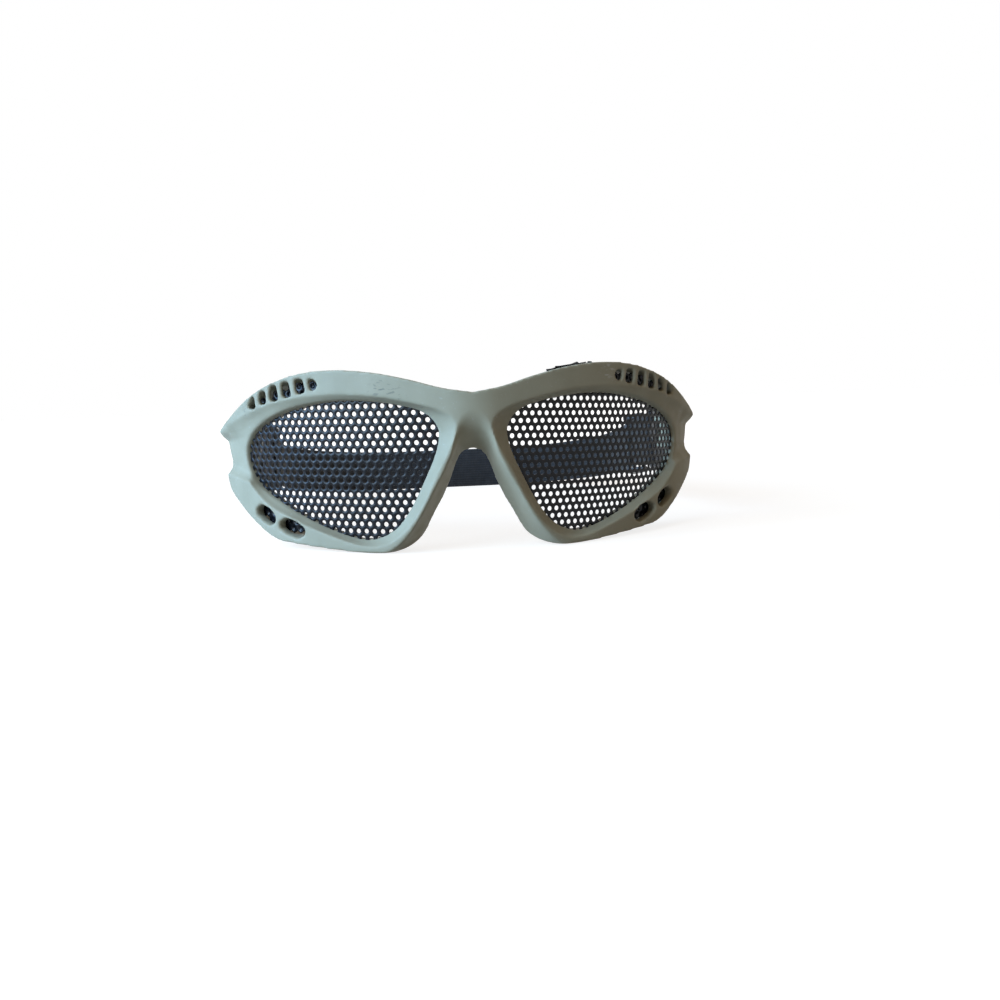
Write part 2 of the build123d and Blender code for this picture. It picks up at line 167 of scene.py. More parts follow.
floor_shape = bmesh.new()
bmesh.ops.create_grid(floor_shape, x_segments=1, y_segments=1, size=paper_half)
floor = new_object("floor", floor_shape)
paper, tree, shader, place = new_material("paper", (0.30, 0.27, 0.24), 0.9)
reach = node(tree, "VectorMath", {0: place}, operation="LENGTH")
glow_strength = spread(tree, reach.outputs["Value"], shadow_reach, white_reach, glow_in_shadow, 1.0)
glow = node(tree, "Emission", {"Strength": glow_strength})
lit_paper = node(tree, "AddShader", {0: shader.outputs[0], 1: glow.outputs[0]})
seen_white(tree, shader, lit_paper, "Material Output")
floor.data.materials.append(paper)

# Frame: one injection moulding of soft matt grey-green rubber, with the brow, the side wings, the
# nose bridge, the lower rims, the vents and a skirt behind them. It is shaped flat here, along the
# front (run), behind it (depth) and up, then bent round the wrap of the goggles.
bridge_radius = 30 * mm
bridge_turn = radians(15)
lens_radius = 160 * mm
lens_turn = radians(38)
temple_radius = 90 * mm
front_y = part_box("frame")[0][1]

bridge_run = bridge_radius * bridge_turn
lens_run = lens_radius * (lens_turn - bridge_turn)
lens_centre = Vector((0, front_y + bridge_radius)) + (lens_radius - bridge_radius) * Vector(
    (-sin(bridge_turn), cos(bridge_turn)))
temple_centre = lens_centre + (lens_radius - temple_radius) * Vector((sin(lens_turn), -cos(lens_turn)))
# each arc of the front seen from above: centre, radius, turn and run at its start
wrap_arcs = [
    (Vector((0, front_y + bridge_radius)), bridge_radius, 0.0, 0.0),
    (lens_centre, lens_radius, bridge_turn, bridge_run),
    (temple_centre, temple_radius, lens_turn, bridge_run + lens_run),
]


def wrapped(flat):
    """A point of the flat shape (run, depth, up), bent to its place on the goggles."""
    run = abs(flat[0])
    centre, radius, start_turn, start_run = [arc for arc in wrap_arcs if arc[3] <= run][-1]
    turn = start_turn + (run - start_run) / radius
    across = centre.x + (radius - flat[1]) * sin(turn)
    back = centre.y - (radius - flat[1]) * cos(turn)
    return Vector((across if flat[0] >= 0 else -across, back, flat[2]))


def run_at(across, depth):
    """The run of a place this far across from the middle, this deep behind the front."""
    for centre, radius, start_turn, start_run in reversed(wrap_arcs):
        turn = asin(min((across - centre.x) / (radius - depth), 1.0))
        if turn >= start_turn or start_run == 0:
            return start_run + radius * (turn - start_turn)


def smooth_line(corners, steps, closed=False):
    """Points along a smooth line through these corners."""
    corners = [Vector(corner) for corner in corners]
    count = len(corners)
    line = []
    for index in range(count if closed else count - 1):
        start, end = corners[index], corners[(index + 1) % count]
        before = corners[index - 1] if closed or index > 0 else start
        after = corners[(index + 2) % count] if closed or index < count - 2 else end
        reach = (end - start).length / 3
        out_of = (end - before).normalized() * reach
        into = (after - start).normalized() * reach
        line += interpolate_bezier(start, start + out_of, end - into, end, steps + 1)[:-1]
    return line if closed else line + [corners[-1]]


def flat_point(across, up, depth=0.0):
    """A point of the flat shape, from its place across, up and behind the front in millimetres."""
    return Vector((run_at(across * mm, depth * mm), depth * mm, up * mm))


def loft(shape, loops):
    """A closed solid through loops of the same count, by extruding a face from loop to loop."""
    ring = [shape.verts.new(point) for point in loops[0]]
    face = shape.faces.new(ring)
    for count, loop in enumerate(loops[1:]):
        grown = bmesh.ops.extrude_face_region(shape, geom=[face])["geom"]
        if count:
            bmesh.ops.delete(shape, geom=[face], context="FACES_ONLY")
        face = [part for part in grown if isinstance(part, bmesh.types.BMFace)][0]
        new_verts = set(face.verts)
        ring = [
            [edge.other_vert(vert) for edge in vert.link_edges if edge.other_vert(vert) in new_verts][0]
            for vert in ring
        ]
        for vert, point in zip(ring, loop):
            vert.co = point


def outward(shape):
    """Turns the faces outwards and shades them smooth."""
    bmesh.ops.recalc_face_normals(shape, faces=shape.faces)
    for face in shape.faces:
        face.smooth = True


def on_both_sides(shape):
    """Mirrors everything in the flat shape to the other half."""
    geometry = list(shape.verts) + list(shape.edges) + list(shape.faces)
    bmesh.ops.mirror(shape, geom=geometry, axis="X", merge_dist=-1)
    outward(shape)


def apply_modifiers(piece):
    """Makes the result of the modifiers the piece's own mesh."""
    bpy.context.view_layer.update()
    shaped = piece.evaluated_get(bpy.context.evaluated_depsgraph_get())
    mesh = bpy.data.meshes.new_from_object(shaped)
    piece.modifiers.clear()
    piece.data = mesh


# cutters start in front of the frame and end past what they cut, in millimetres
cut_lead = 3.0
cut_overrun = 2.0
merge_distance = 0.002 * mm


def carve(cutter_shape):
    """Cuts a closed shape out of the frame."""
    cutter = new_object("cutter", cutter_shape)
    cut = goggle_frame.modifiers.new("cut", "BOOLEAN")
    cut.operation = "DIFFERENCE"
    cut.solver = "EXACT"
    cut.use_self = False
    cut.object = cutter
    apply_modifiers(goggle_frame)
    bpy.data.objects.remove(cutter)
    cut_shape = bmesh.new()
    cut_shape.from_mesh(goggle_frame.data)
    bmesh.ops.dissolve_degenerate(cut_shape, edges=cut_shape.edges, dist=merge_distance)
    bmesh.ops.remove_doubles(cut_shape, verts=cut_shape.verts, dist=merge_distance)
    bmesh.ops.triangulate(cut_shape, faces=cut_shape.faces)
    cut_shape.to_mesh(goggle_frame.data)
    cut_shape.free()


# the wearer's left half from the front, from the middle of the brow round to the nose: across, up
# and behind the front, in millimetres
brow_points = [
    (0, 50.7, 0), (9.6, 52.3, 0), (20.1, 55.3, 0), (32.0, 57.9, 0), (45.0, 59.1, 0), (57.0, 58.1, 0),
    (68.0, 54.6, 0), (74.5, 51.0, 0), (81.0, 46.1, 0), (85.4, 42.2, 0), (87.6, 40.2, 0),
    (88.1, 38.6, 0), (87.4, 37.1, 0.7), (85.9, 35.9, 2.3),
]
recess_edge_points = [(85.2, 33.6, 2.7), (84.6, 30.8, 2.7), (83.9, 27.9, 2.4)]
low_wing_points = [
    (84.5, 25.6, 0.8), (85.1, 22.8, 0), (84.0, 19.0, 0), (81.2, 15.3, 0), (75.4, 9.4, 0), (70.2, 5.3, 0),
    (66.2, 3.1, 0), (61.8, 2.3, 0), (48.1, 1.0, 0), (35.5, 0.1, 0), (28.0, 0.3, 0), (23.8, 0.8, 0),
    (20.3, 2.0, 0), (17.4, 4.1, 0), (15.2, 7.0, 0),
]
half_outline = (
    smooth_line(brow_points, 6)
    + smooth_line([brow_points[-1]] + recess_edge_points, 3)[1:]
    + smooth_line([recess_edge_points[-1]] + low_wing_points, 6)[1:]
)

# depth of the skirt behind the front, by its run
bridge_skirt = 12 * mm
lens_skirt = 13 * mm
temple_skirt = 7 * mm
wing_across = 87.3 * mm
wing_run = run_at(wing_across, 0)
# the top of the brow falls by this share of its depth, from none at the first height to all of it
brow_fall = 0.13
brow_fall_heights = (36, 44)
# the corner beside the nose runs straight back, from not at all at the first distance to wholly
nose_corner_top = 30
nose_corner_across = (33, 28)


def share_between(value, start, end):
    """How far a value has come from start to end, from 0 to 1."""
    return min(max((value - start) / (end - start), 0), 1)


def skirt_depth(run):
    run = abs(run)
    if run < bridge_run + lens_run:
        share = run / (bridge_run + lens_run)
        return bridge_skirt + (lens_skirt - bridge_skirt) * share
    share = (run - bridge_run - lens_run) / (wing_run - bridge_run - lens_run)
    return lens_skirt + (temple_skirt - lens_skirt) * share * share


def fallen(up, depth):
    """How far the brow has fallen at this height and depth."""
    return brow_fall * depth * share_between(up, *brow_fall_heights)


def skirt_edge(across, up, depth):
    """The front and back points of the skirt at a point of the outline."""
    front = flat_point(across, up, depth)
    front.y = 0
    back_depth = skirt_depth(front.x)
    back = Vector((front.x, back_depth, up * mm))
    back.z -= fallen(up, back_depth)
    if up < nose_corner_top:
        straight = run_at(across * mm, back_depth)
        back.x += (straight - back.x) * share_between(across, *nose_corner_across)
    return front, back


body = bmesh.new()
edges = [skirt_edge(*point) for point in half_outline]
edges += [tuple(Vector((-point.x, point.y, point.z)) for point in pair) for pair in reversed(edges[1:])]
loft(body, [[front for front, back in edges], [back for front, back in edges]])
outward(body)
goggle_frame = new_object("goggle_frame", body)

# the hollow behind the front plate on each side
plate_depth = 3.6 * mm
behind_skirt = 20.0
hollow_points = [
    (8.4, 42.6), (9.3, 47.9), (14, 51.5), (22.8, 54.1), (33.3, 55.8), (44.6, 56.6), (56.4, 55.7),
    (67.4, 52.3), (74.6, 47.4), (77.3, 40.0), (77.4, 31.0), (78.0, 22.0), (77.0, 16.8), (73.6, 11.0),
    (69.8, 7.7), (65.5, 5.4), (61.3, 4.5), (48.1, 3.6), (35.0, 2.9), (27.6, 5.0), (21.4, 11.2),
    (14.4, 23.9), (9.6, 34.3),
]
hollow_line = smooth_line(hollow_points, 4, closed=True)
# its line is measured deeper beside the nose than at the outside
nose_side_depth = 8
outside_rise = 4.4
outside_across = (20, 60)
hollow_loop = [
    flat_point(x, z, nose_side_depth - outside_rise * share_between(x, *outside_across))
    for x, z in hollow_line
]
hollow = bmesh.new()
loft(hollow, [hollow_loop, hollow_loop])
hollow.verts.ensure_lookup_table()
for vert in hollow.verts:
    vert.co.y = plate_depth if vert.index < len(hollow_line) else behind_skirt * mm
    vert.co.z -= fallen(vert.co.z / mm, vert.co.y)
on_both_sides(hollow)
carve(hollow)

# the nose opening: its walls slope down and in towards the back, under a rounded shoulder
nose_foot = 33.0
below_rim = -30.0
nose_points = [
    (nose_foot, -0.6), (30.6, 0.1), (28.2, 0.9), (25.7, 2.4), (23.2, 4.6), (20.2, 8.3), (16.5, 14.1),
    (12.4, 21.8), (10.1, 25.8), (8.5, 29.2), (7.0, 32.4), (5.8, 35.8), (4.5, 38.7), (2.5, 40.6), (0, 41.2),
]
nose_wall_slope = 0.78
nose_deepest = 14.0
# how far the shoulder lifts the opening at each depth, and the heights between which it begins
shoulder_lifts = [
    (-cut_lead, 4.6), (0.0, 4.0), (0.06, 3.15), (0.2, 2.43), (0.5, 1.6), (1.0, 0.8), (1.6, 0.27),
    (2.5, 0.0), (8.0, 0.0), (nose_deepest, 0.0), (behind_skirt, 0.0),
]
shoulder_heights = (33, 41)
nose_line = smooth_line(nose_points, 5)
nose_line = [Vector((nose_foot, below_rim))] + nose_line + [
    Vector((-x, z)) for x, z in reversed(nose_line[:-1])] + [Vector((-nose_foot, below_rim))]
nose = bmesh.new()
nose_loops = []
for depth, lift in shoulder_lifts:
    loop = []
    for x, z in nose_line:
        lifted = z - nose_wall_slope * max(depth, 0) + lift * share_between(z, *shoulder_heights)
        place = flat_point(abs(x), lifted, max(min(depth, nose_deepest), 0))
        loop.append(Vector((place.x if x >= 0 else -place.x, depth * mm, place.z)))
    nose_loops.append(loop)
loft(nose, nose_loops)
outward(nose)
carve(nose)

# the lip behind each lens, which holds its edge
lens_depth = 3.72
window_points = [
    (10.9, 37.5), (14.4, 43.9), (22.3, 46.9), (33.3, 48.6), (44.6, 48.8), (58.6, 46.2), (70.0, 40.8),
    (75.6, 33.4), (73.2, 22.9), (63.4, 15.0), (51.2, 8.7), (39.4, 4.6), (32.4, 4.3), (24.5, 8.9),
    (16.6, 21.9),
]
window_middle = Vector((42, 28))
sheet_thickness = 0.5
lip_depth = 6.2
lip_width = 3.2
lip_sunk = 1.0
round_steps = 144


def runs_backwards(line):
    """Whether a closed line runs clockwise."""
    return sum(start.cross(end) for start, end in zip(line, line[1:] + line[:1])) < 0


def round_window(points):
    """A closed line round the window, through places across, up and deep, sampled by its angle."""
    line = smooth_line(points, 6, closed=True)
    around = [point.to_2d() - window_middle for point in line]
    if runs_backwards(around):
        line.reverse()
        around.reverse()
    places = []
    for step in range(round_steps):
        ray = Vector((cos(2 * pi * step / round_steps), sin(2 * pi * step / round_steps)))
        for index, start in enumerate(around):
            end = around[(index + 1) % len(around)]
            if ray.cross(start) <= 0 < ray.cross(end) and ray.dot(start + end) > 0:
                share = ray.cross(start) / (ray.cross(start) - ray.cross(end))
                places.append(line[index].lerp(line[(index + 1) % len(line)], share))
                break
    return places


window_line = round_window([(x, z, lens_depth) for x, z in window_points])
# the crease in front of the window, and the top of the steep wall next to the lens
crease_line = round_window([
    (5.6, 39.2, 0), (6.3, 42.3, 0), (8.6, 44.4, 0), (12.8, 46.1, 0), (19.7, 47.9, 0), (27.3, 49.6, 0),
    (35.1, 50.6, 0), (43.1, 51.1, 0), (51.5, 50.8, 0), (57.3, 50.2, 0), (63.4, 49.2, 0), (69.0, 47.8, 0),
    (73.0, 46.2, 0), (75.8, 43.2, 1.0), (77.4, 40.0, 1.8), (78.2, 36.5, 2.0), (78.2, 33.0, 2.0),
    (77.8, 28.9, 1.9), (76.6, 25.4, 1.6), (75.0, 21.9, 0.5), (72.6, 18.4, 0), (68.4, 14.6, 0),
    (64.1, 12.3, 0), (60.0, 10.6, 0), (56.4, 8.8, 0), (51.4, 7.0, 0), (47.3, 5.6, 0), (41.0, 3.6, 0),
    (35.5, 2.4, 0), (30.0, 2.8, 0), (26.0, 4.8, 0), (21.3, 9.2, 0), (16.9, 15.6, 0), (11.6, 26.4, 0),
    (8.0, 33.2, 0),
])
wall_line = round_window([
    (10.6, 38.0, 3.3), (13.9, 44.3, 3.0), (22.2, 47.4, 2.4), (33.2, 49.2, 1.8), (44.6, 49.5, 1.5),
    (52.0, 48.7, 1.4), (58.8, 47.4, 1.4), (64.0, 45.6, 1.5), (68.2, 43.5, 1.7), (71.9, 41.0, 1.9),
    (74.9, 38.2, 2.1), (76.8, 35.0, 2.2), (77.3, 32.0, 2.2), (76.9, 28.5, 2.1), (75.8, 25.2, 2.0),
    (73.4, 21.8, 2.1), (70.4, 19.2, 2.5), (63.6, 14.4, 2.8), (51.3, 8.3, 2.9), (39.6, 4.3, 3.1),
    (32.0, 3.9, 3.1), (24.1, 8.6, 3.2), (16.2, 21.6, 3.3),
])


def grown(line, amount):
    """A closed line moved to its right: outwards, or inwards where it runs clockwise."""
    count = len(line)
    ways = [(line[(index + 1) % count] - line[index - 1]).normalized() for index in range(count)]
    return [
        Vector((point.x + way.y * amount, point.y - way.x * amount)) for point, way in zip(line, ways)
    ]


lip = bmesh.new()
outer_line = grown(window_line, lip_width)
lip_rings = []
for line, depth in (
    (window_line, lens_depth + sheet_thickness / 2), (window_line, lip_depth),
    (outer_line, lip_depth), (outer_line, plate_depth / mm - lip_sunk),
):
    ring = [lip.verts.new(flat_point(point.x, point.y, lens_depth)) for point in line]
    for vert in ring:
        vert.co.y = depth * mm
    lip_rings.append([lip.edges.new((ring[index - 1], ring[index])) for index in range(round_steps)])
for first, second in zip(lip_rings, lip_rings[1:] + lip_rings[:1]):
    bmesh.ops.bridge_loops(lip, edges=first + second)
on_both_sides(lip)

# the lugs behind the temples, for the studs of the strap
lug_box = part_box("left_stud")
lug_outer = 79.5 * mm
lug_thickness = 3.0 * mm
lug_radius = 6.2 * mm
pivot = Vector((0, (lug_box[0][1] + lug_box[1][1]) / 2, (lug_box[0][2] + lug_box[1][2]) / 2))
lug_root = 19.5 * mm
lug_steps = 24
root_steps = 12


def flattened(place):
    """The flat place of a point of the goggles behind a temple."""
    arm = Vector((place.x, place.y)) - temple_centre
    turn = atan2(arm.x, -arm.y)
    run = bridge_run + lens_run + temple_radius * (turn - lens_turn)
    return Vector((run, temple_radius - arm.length, place.z))


lug = bmesh.new()
half_turn = [pi / 2 - pi * step / lug_steps for step in range(lug_steps + 1)]
lug_side = [(pivot.y + lug_radius * cos(turn), pivot.z + lug_radius * sin(turn)) for turn in half_turn]
back_run = [lug_side[-1][0] - lug_root * step / root_steps for step in range(1, root_steps + 1)]
lug_side += [(y, pivot.z - lug_radius) for y in back_run]
lug_side += [(y, pivot.z + lug_radius) for y in reversed(back_run)]
loft(lug, [[(x, y, z) for y, z in lug_side] for x in (lug_outer, lug_outer - lug_thickness)])
for vert in lug.verts:
    vert.co = flattened(vert.co)
on_both_sides(lug)

# the recess between the wings, for the ear of the strap: sections across it, from the window out
recess_sections = [
    # across, crease above, floor top, floor bottom, lip below, floor depth, bow of the slope
    (58.5, 50.0, 47.7, 32.0, 31.0, 1.2, 0.55),
    (64.0, 49.1, 45.6, 32.0, 31.0, 1.45, 0.55),
    (68.0, 48.1, 43.6, 30.0, 29.0, 1.65, 0.55),
    (72.0, 46.7, 41.4, 26.0, 25.0, 1.9, 0.55),
    (75.0, 45.5, 39.2, 23.6, 22.2, 2.1, 0.55),
    (78.0, 44.2, 37.8, 24.9, 22.6, 2.3, 0.5),
    (81.7, 42.6, 37.1, 26.8, 23.6, 2.5, 0.4),
    (85.0, 41.2, 36.6, 28.3, 24.4, 2.7, 0.05),
    (88.0, 40.0, 36.0, 29.8, 25.0, 2.9, -0.1),
    (91.0, 39.0, 35.8, 31.0, 25.0, 3.0, -0.1),
]
floor_round = 0.2
lip_rise = 0.15
recess = bmesh.new()
recess_loops = []
for across, crease, floor_top, floor_low, lip_low, floor_depth, bow in recess_sections:
    slope = crease - floor_top
    drop = floor_low - lip_low
    # depth and height, from the crease down the slope, over the floor and out to the lip
    section = [
        (-cut_overrun, crease), (0.0, crease), (0.8 * bow * floor_depth, crease - 0.25 * slope),
        ((0.4 + 0.7 * bow) * floor_depth, crease - 0.6 * slope), (floor_depth, floor_top - floor_round),
        (floor_depth, floor_low + floor_round), (0.75 * floor_depth, floor_low - 0.35 * drop),
        (0.25 * floor_depth, floor_low - 0.8 * drop), (-lip_rise, lip_low), (-cut_overrun, lip_low),
    ]
    run = run_at(across * mm, 0)
    recess_loops.append([Vector((run, depth * mm, up * mm)) for depth, up in section])
loft(recess, recess_loops)
on_both_sides(recess)
carve(recess)

# the windows: from the crease in front, down a slope and a steep wall to the lens, and through
window_steps = [
    # the lines that a section lies between, its share of the way, and how far the slope sags there
    (crease_line, wall_line, 0.0, 0.0), (crease_line, wall_line, 0.35, 0.10),
    (crease_line, wall_line, 0.7, 0.10), (wall_line, window_line, 0.0, 0.0),
    (wall_line, window_line, 0.55, 0.0), (wall_line, window_line, 1.0, 0.0),
]
window = bmesh.new()
window_loops = [[flat_point(x, z) - Vector((0, cut_lead * mm, 0)) for x, z, depth in crease_line]]
for start_line, end_line, share, sag in window_steps:
    places = [start.lerp(end, share) for start, end in zip(start_line, end_line)]
    window_loops.append([
        flat_point(place.x, place.y, place.z + sag * (end.z - start.z))
        for place, start, end in zip(places, start_line, end_line)
    ])
window_end = (lip_depth + cut_overrun) * mm
window_loops.append([Vector((point.x, window_end, point.z)) for point in window_loops[-1]])
loft(window, window_loops)
on_both_sides(window)
carve(window)

# the vents: one long slot in the brow, crossed by ribs, and two slots in the lower wing
brow_vents = [
    [(72.3, 51.6), (74.6, 47.8), (71.8, 47.7)],
    [(67.8, 53.1), (69.4, 52.8), (69.9, 49.0), (67.7, 49.2)],
    [(63.6, 54.9), (65.4, 54.5), (65.6, 50.0), (63.2, 50.2)],
    [(59.2, 55.8), (61.2, 55.5), (60.9, 51.0), (58.5, 51.3)],
    [(54.3, 56.5), (56.5, 56.4), (56.0, 52.0), (53.5, 52.5)],
    [(51.7, 56.4), (50.0, 55.9), (49.3, 54.6), (49.9, 53.4), (51.3, 52.9)],
]
low_vents = [
    [(73.5, 13.0), (71.6, 14.5), (68.8, 13.3), (66.9, 11.2), (66.9, 9.2), (68.6, 7.9), (71.0, 9.1),
     (73.4, 11.0)],
    [(65.0, 8.8), (62.8, 10.4), (59.2, 9.4), (56.4, 7.3), (56.5, 5.3), (58.7, 4.1), (62.5, 5.3),
     (65.0, 7.2)],
]
vent_corner = 0.5
corner_share = 0.45
brow_widening = 0.2
# how much wider a vent is at each depth: its edge is rounded
vent_edge = [(0.75, -1.0), (0.6, 0.0), (0.38, 0.14), (0.24, 0.4), (0.2, 0.8)]
vent_wall = 0.2
vent_back_depths = (1.6, 4.4)


def fallen_place(across, up, depth):
    """A flat place of the brow, fallen with its top."""
    return flat_point(across, up) + Vector((0, depth * mm, -fallen(up, depth * mm)))


vents = bmesh.new()
for points, widening in [(vent, brow_widening) for vent in brow_vents] + [(vent, 0.0) for vent in low_vents]:
    line = [Vector(point) for point in points]
    rounded = []
    for index, corner in enumerate(line):
        before = line[index - 1] - corner
        after = line[(index + 1) % len(line)] - corner
        rounding = min(vent_corner, before.length * corner_share, after.length * corner_share)
        start = corner + before.normalized() * rounding
        end = corner + after.normalized() * rounding
        rounded += interpolate_bezier(start, corner, corner, end, 4)
    if runs_backwards(rounded):
        rounded.reverse()
    sections = vent_edge + [(vent_wall + widening, depth) for depth in vent_back_depths]
    loft(vents, [
        [fallen_place(point.x, point.y, depth) for point in grown(rounded, growth)]
        for growth, depth in sections
    ])
on_both_sides(vents)
carve(vents)

# behind the ribs of the vents the brow is one hollow
cavity_points = [
    (50.4, 53.4), (51.0, 55.8), (56.0, 56.1), (61.0, 55.2), (65.6, 53.9), (69.8, 52.1), (72.4, 50.4),
    (73.2, 48.8), (70.0, 49.9), (65.0, 50.9), (60.0, 51.9), (54.5, 52.9),
]
cavity_depths = (1.5, 4.6)
cavity_line = smooth_line(cavity_points, 4, closed=True)
cavity = bmesh.new()
loft(cavity, [[fallen_place(x, z, depth) for x, z in cavity_line] for depth in cavity_depths])
on_both_sides(cavity)
carve(cavity)

# one skin over all of it, with the soft edges of a moulding
skin_step = 0.53 * mm
skin_passes = 4
whole = bmesh.new()
whole.from_mesh(goggle_frame.data)
for extra in (lip, lug):
    spare = bpy.data.meshes.new("spare")
    extra.to_mesh(spare)
    whole.from_mesh(spare)
    extra.free()
    bpy.data.meshes.remove(spare)
whole.to_mesh(goggle_frame.data)
whole.free()
skin = goggle_frame.modifiers.new("skin", "REMESH")
skin.mode = "VOXEL"
skin.voxel_size = skin_step
apply_modifiers(goggle_frame)
moulding = bmesh.new()
moulding.from_mesh(goggle_frame.data)
for _ in range(skin_passes):
    bmesh.ops.smooth_vert(
        moulding, verts=moulding.verts, factor=0.5, use_axis_x=True, use_axis_y=True, use_axis_z=True,
    )
for vert in moulding.verts:
    vert.co = wrapped(vert.co)
outward(moulding)
moulding.to_mesh(goggle_frame.data)
moulding.free()
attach(goggle_frame, "goggles")
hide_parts("frame")


def noise(tree, place, size, detail=3.0, stretch=(1, 1, 1)):
    """A random grain from 0 to 1; size is that of one grain, in metres."""
    stretched = node(tree, "Mapping", {"Vector": place, "Scale": stretch}).outputs[0]
    grain = node(tree, "TexNoise", {"Vector": stretched, "Scale": 1 / size, "Detail": detail})
    return grain.outputs["Fac"]


def tinted(tree, share, first, second):
    """A colour between two, by a share; each is a colour or the output of a node."""
    first, second = [(*colour, 1) if isinstance(colour, tuple) else colour for colour in (first, second)]
    return node(tree, "Mix", {"Factor": share, 6: first, 7: second}, data_type="RGBA").outputs[2]


def patches(tree, place, size, low=0.0, high=1.0):
    """Soft patches of a value between low and high."""
    return spread(tree, noise(tree, place, size), 0.3, 0.7, low, high)


def surfaced(tree, shader, colour, roughness, height, depth, specular=0.5, sheen=0.0, sheen_roughness=0.5):
    """Gives a shader its colour, its roughness, bumps of a height from 0 to 1, and its shine."""
    bumps = node(tree, "Bump", {"Height": height, "Distance": depth})
    tree.links.new(colour, shader.inputs["Base Color"])
    tree.links.new(roughness, shader.inputs["Roughness"])
    tree.links.new(bumps.outputs[0], shader.inputs["Normal"])
    shader.inputs["Specular IOR Level"].default_value = specular
    shader.inputs["Sheen Weight"].default_value = sheen
    shader.inputs["Sheen Roughness"].default_value = sheen_roughness


def near(tree, place, middle, reach):
    """1 at a place on the object, falling to 0 at this reach."""
    away = node(tree, "VectorMath", {0: place, 1: middle}, operation="DISTANCE")
    return spread(tree, away.outputs["Value"], 0.0, reach, 1.0, 0.0)


rubber, tree, shader, place = new_material("frame_rubber", (0.315, 0.290, 0.204), 0.62)
mottle = patches(tree, place, 9 * mm)
rubber_colour = tinted(tree, mottle, (0.298, 0.274, 0.192), (0.332, 0.306, 0.217))
dust = combined(tree, "MULTIPLY", spread(tree, noise(tree, place, 0.9 * mm, 2.0), 0.66, 0.78), mottle)
rubber_colour = tinted(tree, dust, rubber_colour, (0.40, 0.39, 0.32))
# scuffs and stains: the side, the place across and up in millimetres, the reach and the colour
rubber_marks = [
    (-1, 28.5, 52.0, 0.0050, (0.16, 0.155, 0.12)), (-1, 23.5, 50.4, 0.0045, (0.14, 0.135, 0.10)),
    (1, 46.0, 56.0, 0.005, (0.50, 0.48, 0.42)), (-1, 74.0, 48.0, 0.006, (0.17, 0.17, 0.14)),
    (1, 60.0, 6.5, 0.005, (0.14, 0.14, 0.11)),
]
scuff_grain = spread(tree, noise(tree, place, 1.3 * mm, 4.0, (0.5, 1, 1.6)), 0.57, 0.66)
for side, across, up, reach, mark in rubber_marks:
    x, y, z = wrapped(flat_point(across, up))
    worn = combined(tree, "MULTIPLY", near(tree, place, (side * x, y, z), reach), scuff_grain)
    rubber_colour = tinted(tree, worn, rubber_colour, mark)
surfaced(
    tree, shader, rubber_colour, patches(tree, place, 4 * mm, 0.52, 0.68),
    noise(tree, place, 0.22 * mm, 3.0), 0.03 * mm, specular=0.28, sheen=0.04,
)
shader.inputs["Sheen Tint"].default_value = (0.9, 0.95, 1.0, 1)
goggle_frame.data.materials.clear()
goggle_frame.data.materials.append(rubber)

# Lenses: two pieces cut from perforated steel sheet, coated black, pressed in behind the windows and
# held there by the lip. The punch rolled the edge of each hole. Each piece lies a little askew, and
# on the wearer's left its cut edge stands out above the brow.
hole_radius = 0.78 * mm
rolled_radius = 1.06 * mm
row_step = 2.38 * mm
hole_sides = 12
hole_rings = [
    # radius, 0 for the edge of the cell, and depth in millimetres
    (0, 0.0), (rolled_radius, 0.03), (hole_radius * 1.04, 0.16), (hole_radius, 0.30),
    (rolled_radius, sheet_thickness), (0, sheet_thickness),
]
# away from the windows, behind the rubber and in the cut edge above the brow, the holes are closed dimples
# rather than punched through: painted shade, a dark sheet put where the vents and the cut edge would show
# the shade behind them
painted_shade_rings = hole_rings[:3] + [(hole_radius * 0.5, 0.4)]


def cell_corner(step, pitch):
    """The edge of one hole's share of the sheet, at a twelfth of a turn."""
    high = row_step / 2 + pitch ** 2 / (8 * row_step)
    low = row_step / 2 - pitch ** 2 / (8 * row_step)
    corners = [Vector((pitch / 2, low)), Vector((0, high)), Vector((-pitch / 2, low))]
    corners += [-corner for corner in corners]
    corner = corners[step // 2]
    return corner if step % 2 else (corner + corners[step // 2 - 1]) / 2


def twelfth(across, up):
    """The step round a hole that a point lies at."""
    return round(atan2(up, across) / (2 * pi / hole_sides)) % hole_sides


def lens_cell(pitch, rings, row_fall, column_lean):
    """One hole and the metal round it, from the front edge over the rolled rim to the back."""
    cell = bmesh.new()
    verts = bmesh.ops.create_circle(cell, segments=hole_sides, radius=mm)["verts"]
    bmesh.ops.rotate(cell, verts=verts, matrix=Matrix.Rotation(pi / 2, 3, "X"))
    for count, (radius, depth) in enumerate(rings):
        if count:
            grown_part = bmesh.ops.extrude_edge_only(cell, edges=ring)["geom"]
            verts = [part for part in grown_part if isinstance(part, bmesh.types.BMVert)]
        ring = [edge for edge in {edge for vert in verts for edge in vert.link_edges}
                if all(vert in verts for vert in edge.verts)]
        for vert in verts:
            step = twelfth(vert.co.x, vert.co.z)
            turn = 2 * pi * step / hole_sides
            flat = Vector((radius * cos(turn), radius * sin(turn)))
            # the holes stay round when the rows lean
            flat = Vector((flat.x - column_lean * flat.y, flat.y - row_fall * flat.x))
            if radius == 0:
                flat = cell_corner(step, pitch)
            vert.co = (flat.x, (lens_depth + depth) * mm, flat.y)
    # the closed dimples of the painted shade get a floor and a flat back
    if rings is painted_shade_rings:
        bmesh.ops.contextual_create(cell, geom=ring)
        back = bmesh.ops.create_circle(cell, segments=hole_sides, radius=mm, cap_ends=True)["verts"]
        for vert in back:
            flat = cell_corner(twelfth(vert.co.x, vert.co.y), pitch)
            vert.co = (flat.x, (lens_depth + sheet_thickness) * mm, flat.y)
    cell_mesh = bpy.data.meshes.new("cell")
    cell.to_mesh(cell_mesh)
    cell.free()
    return cell_mesh


def at_lens(points):
    """Places on the flat lens, from places across and up in millimetres."""
    return [flat_point(point[0], point[1], lens_depth).xz for point in points]


